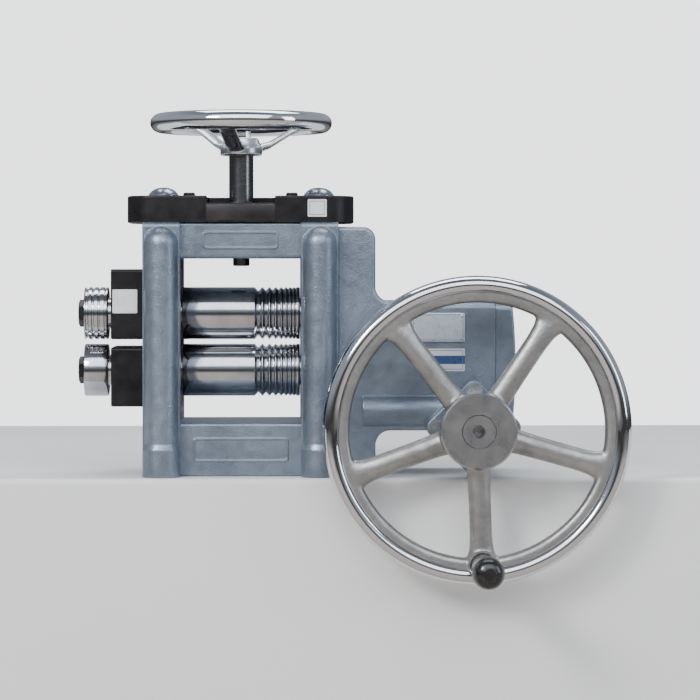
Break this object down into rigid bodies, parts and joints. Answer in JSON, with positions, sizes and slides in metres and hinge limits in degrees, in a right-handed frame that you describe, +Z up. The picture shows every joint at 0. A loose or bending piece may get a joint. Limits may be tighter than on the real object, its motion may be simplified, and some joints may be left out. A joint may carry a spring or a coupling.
{
  "type": "rolling press",
  "caption": "Bench-top metal rolling press: two steel rolls in a cast frame, closed by a geared top handwheel and turned by a front handwheel through a gearbox",
  "frame": {"origin": "centre of the four bench bolts on the underside of the base", "axes": "+X along the rolls towards the gearbox, +Y to the back, away from the front handwheel, +Z up"},
  "size_m": [0.5984, 0.365, 0.5095],
  "materials": {
    "frame_paint": "satin",
    "black_steel": "satin",
    "polished_steel": "polished",
    "bright_steel": "brushed",
    "gear_steel": "brushed",
    "bronze": "brushed",
    "chrome": "polished",
    "cast_alloy": "satin",
    "black_grip": "satin",
    "blank_plate": "satin"
  },
  "bodies": {
    "frame": {"frame_casting": "frame_paint", "gear_housing": "frame_paint", "gearbox_end_cap": "frame_paint", "idler_end_plate": "frame_paint", "drive_carrier": "frame_paint", "top_plate": "black_steel", "top_plate_screws": "black_steel", "housing_screws": "black_steel", "end_cap_screws": "black_steel", "carrier_bolts": "bright_steel", "lower_bearing_block_left": "black_steel", "lower_bearing_block_right": "black_steel", "lower_roll_bushes": "bronze", "lifting_springs": "gear_steel", "shaft_bush": "bronze", "drive_bush": "bronze", "idler_bushes": "bronze", "adjuster_bush": "bronze", "nameplate": "blank_plate", "housing_label": "blank_plate", "plate_label": "blank_plate"},
    "upper_carriage": {"upper_bearing_block_left": "black_steel", "upper_bearing_block_right": "black_steel", "upper_roll_bushes": "bronze", "thrust_pads": "bright_steel", "block_label": "blank_plate"},
    "upper_roll_train": {"upper_roll": "polished_steel", "upper_extension_roll": "polished_steel", "upper_extension_nut": "black_steel", "upper_roll_gear": "gear_steel", "upper_gear_nut": "gear_steel"},
    "lower_roll_train": {"lower_roll": "polished_steel", "lower_extension_roll": "polished_steel", "lower_extension_nut": "black_steel", "lower_roll_gear": "gear_steel", "bevel_wheel": "gear_steel", "bevel_wheel_screw": "gear_steel"},
    "screw_left": {"pressure_screw_left": "bright_steel", "screw_gear_left": "gear_steel", "screw_cap_left": "bright_steel"},
    "screw_right": {"pressure_screw_right": "bright_steel", "screw_gear_right": "gear_steel", "screw_cap_right": "bright_steel"},
    "adjuster": {"adjuster_shaft": "bright_steel", "top_handwheel": "chrome", "top_wheel_nut": "chrome", "centre_gear": "gear_steel"},
    "idler": {"idler_shaft": "bright_steel", "idler_gear": "gear_steel", "bevel_pinion": "gear_steel"},
    "drive_wheel": {"drive_shaft": "bright_steel", "drive_key": "bright_steel", "drive_pinion": "gear_steel", "drive_pinion_nut": "gear_steel", "drive_handwheel": "cast_alloy", "handle_spindle": "bright_steel"},
    "handle": {"handle_grip": "black_grip", "handle_end_plug": "black_grip"}
  },
  "joints": [
    {"name": "drive_turn", "type": "hinge", "parent": "frame", "child": "drive_wheel", "pos_m": [0.253, -0.15, 0.054], "axis": [0, 1, 0], "continuous": true},
    {"name": "handle_turn", "type": "hinge", "parent": "drive_wheel", "child": "handle", "pos_m": [0.25799, -0.2, -0.08891], "axis": [0, 1, 0], "continuous": true},
    {"name": "idler_turn", "type": "hinge", "parent": "frame", "child": "idler", "pos_m": [0.253, -0.06, 0.114], "axis": [0, 1, 0], "continuous": true},
    {"name": "lower_roll_turn", "type": "hinge", "parent": "frame", "child": "lower_roll_train", "pos_m": [0, 0, 0.114], "axis": [1, 0, 0], "continuous": true},
    {"name": "adjuster_turn", "type": "hinge", "parent": "frame", "child": "adjuster", "pos_m": [0, 0, 0.32], "axis": [0, 0, 1], "range_deg": [-450, 285]},
    {"name": "carriage_lift", "type": "slide", "parent": "frame", "child": "upper_carriage", "axis": [0, 0, 1], "range_m": [-0.0047, 0.003], "deforming": ["lifting_springs"]},
    {"name": "upper_roll_turn", "type": "hinge", "parent": "upper_carriage", "child": "upper_roll_train", "pos_m": [0, 0, 0.177], "axis": [1, 0, 0], "continuous": true},
    {"name": "screw_left_turn", "type": "hinge", "parent": "upper_carriage", "child": "screw_left", "pos_m": [-0.08625, 0, 0.25], "axis": [0, 0, 1], "range_deg": [-540, 850]},
    {"name": "screw_right_turn", "type": "hinge", "parent": "upper_carriage", "child": "screw_right", "pos_m": [0.08625, 0, 0.25], "axis": [0, 0, 1], "range_deg": [-540, 850]}
  ],
  "couplings": [
    {"joint": "idler_turn", "follows": "drive_turn", "ratio": -0.71429},
    {"joint": "lower_roll_turn", "follows": "drive_turn", "ratio": 0.2381},
    {"joint": "upper_roll_turn", "follows": "drive_turn", "ratio": -0.2381},
    {"joint": "carriage_lift", "follows": "adjuster_turn", "m_per_rad": 0.00059683},
    {"joint": "screw_left_turn", "follows": "adjuster_turn", "ratio": -1.875},
    {"joint": "screw_right_turn", "follows": "adjuster_turn", "ratio": -1.875}
  ]
}
